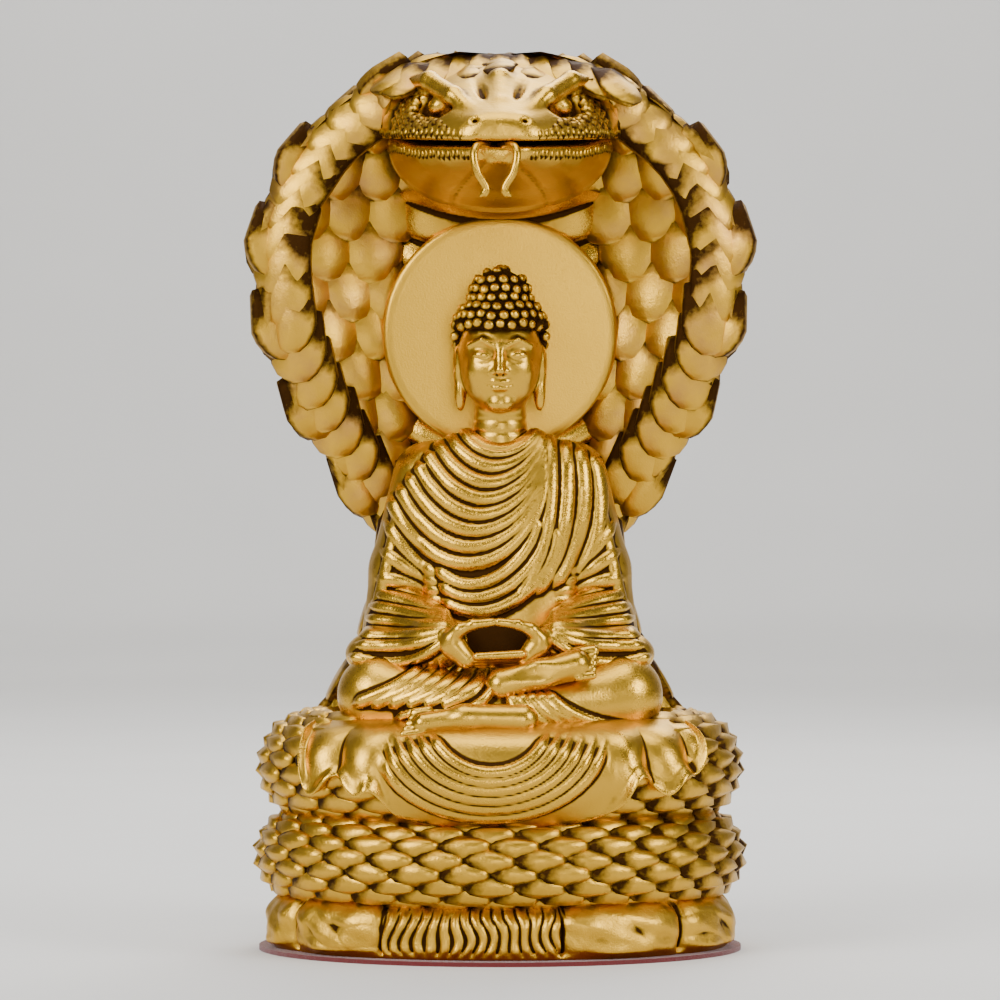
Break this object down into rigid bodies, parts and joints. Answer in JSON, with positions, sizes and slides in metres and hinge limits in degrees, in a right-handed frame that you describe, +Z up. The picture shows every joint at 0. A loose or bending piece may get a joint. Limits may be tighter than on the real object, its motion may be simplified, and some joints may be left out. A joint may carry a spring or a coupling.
{
  "type": "devotional statue",
  "caption": "Cast brass figure meditating on two coils of a cobra, with a halo disc, under the snake's scaled hood; rock base with felt pad.",
  "frame": {"origin": "middle of the felt pad's underside, on the surface that the statue stands on", "axes": "+Z up; the figure faces -Y; +X is the figure's left side, on the viewer's right"},
  "size_m": [0.1118, 0.0849, 0.2054],
  "materials": {
    "patina_brass": "satin cast brass, dark in the recesses",
    "satin_brass": "satin, brushed",
    "plain_brass": "sawn sheet",
    "steel": "zinc plated",
    "red_felt": "flocked felt"
  },
  "bodies": {
    "root": {"felt_pad": "red_felt", "base_plate": "plain_brass", "plate_screws": "steel", "rock_base": "patina_brass", "lower_coil": "patina_brass", "upper_coil": "patina_brass", "tail_tip": "patina_brass", "robe_skirt": "patina_brass", "crossed_legs": "patina_brass", "torso_robe": "patina_brass", "left_sleeve": "patina_brass", "right_sleeve": "patina_brass", "joined_hands": "patina_brass", "head": "patina_brass", "hair_cap": "patina_brass", "halo_disc": "satin_brass", "trunk": "patina_brass", "belly_scutes": "patina_brass", "hood": "patina_brass", "snake_head": "patina_brass", "lower_jaw": "patina_brass", "tongue": "patina_brass", "long_rod": "steel", "rod_nut": "steel", "rod_washer": "steel", "figure_screws": "steel", "hood_dowels": "steel"}
  },
  "joints": []
}
